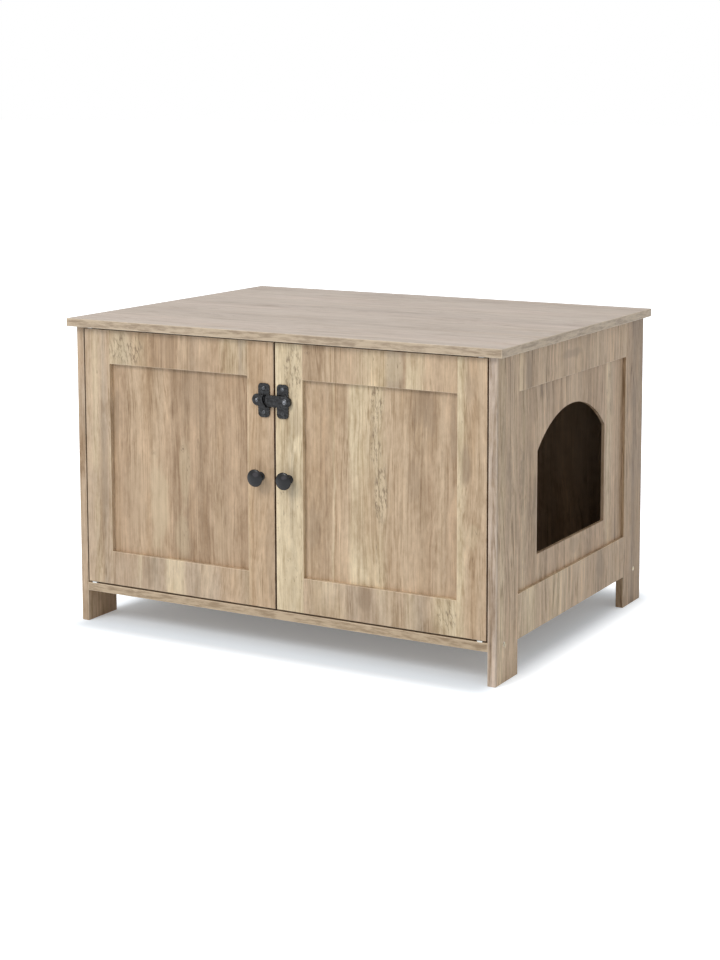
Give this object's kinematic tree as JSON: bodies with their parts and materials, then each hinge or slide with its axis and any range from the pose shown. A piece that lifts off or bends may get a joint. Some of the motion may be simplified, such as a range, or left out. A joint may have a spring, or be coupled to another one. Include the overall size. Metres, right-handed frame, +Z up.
{
  "type": "cat litter box cabinet",
  "caption": "Low wooden cabinet that hides a litter tray: two framed doors on pivot pins, a flip latch, plank legs and an arched cat entry in one side.",
  "frame": {"origin": "centre of the footprint at floor level, under the middle of the bounding box", "axes": "+X to the right seen from the doors, the side with the cat entry; +Y from the doors to the back; +Z up"},
  "size_m": [0.88, 0.6676, 0.565],
  "materials": {
    "top_board": "matte printed grain",
    "door_board": "matte printed grain",
    "carcass_board": "matte printed grain",
    "back_board": "matte printed grain",
    "stop_block": "matte printed grain",
    "beech_dowel": "fluted, dry",
    "black_iron": "satin black powder coat",
    "black_screw": "satin black",
    "zinc_fitting": "zinc plated",
    "white_nylon": "moulded, matte"
  },
  "bodies": {
    "cabinet": {"back_panel": "back_board", "base_screws": "zinc_fitting", "bottom_board": "carcass_board", "cam_bolts": "zinc_fitting", "cam_locks": "zinc_fitting", "door_stop": "stop_block", "left_bottom_rail": "carcass_board", "left_front_leg": "carcass_board", "left_rear_leg": "carcass_board", "left_side_panel": "carcass_board", "left_top_rail": "carcass_board", "pivot_bushes": "white_nylon", "right_bottom_rail": "carcass_board", "right_entry_panel": "carcass_board", "right_front_leg": "carcass_board", "right_rear_leg": "carcass_board", "right_top_rail": "carcass_board", "stop_screws": "zinc_fitting", "top_dowels": "beech_dowel", "top_panel": "top_board"},
    "right_door": {"latch_base_plate": "black_iron", "latch_base_screws": "black_screw", "latch_rivet": "black_iron", "latch_washer": "black_iron", "right_door_bottom_rail": "door_board", "right_door_inner_stile": "door_board", "right_door_outer_stile": "door_board", "right_door_panel": "door_board", "right_door_pivot_pins": "white_nylon", "right_door_top_rail": "door_board", "right_knob": "black_iron", "right_knob_screw": "zinc_fitting"},
    "left_door": {"latch_catch_plate": "black_iron", "latch_catch_screws": "black_screw", "left_door_bottom_rail": "door_board", "left_door_inner_stile": "door_board", "left_door_outer_stile": "door_board", "left_door_panel": "door_board", "left_door_pivot_pins": "white_nylon", "left_door_top_rail": "door_board", "left_knob": "black_iron", "left_knob_screw": "zinc_fitting"},
    "latch_bar": {"latch_bar": "black_iron"}
  },
  "joints": [
    {"name": "right_door_hinge", "type": "hinge", "parent": "cabinet", "child": "right_door", "pos_m": [0.3965, -0.30225, 0.3115], "axis": [0, 0, 1], "range_deg": [0, 120]},
    {"name": "left_door_hinge", "type": "hinge", "parent": "cabinet", "child": "left_door", "pos_m": [-0.3965, -0.30225, 0.3115], "axis": [0, 0, 1], "range_deg": [-120, 0]},
    {"name": "latch_bar_pivot", "type": "hinge", "parent": "right_door", "child": "latch_bar", "pos_m": [0.0255, -0.31425, 0.445], "axis": [0, 1, 0], "range_deg": [0, 90]}
  ],
  "couplings": [
    {"joint": "left_door_hinge", "follows": "right_door_hinge", "ratio": -1}
  ]
}
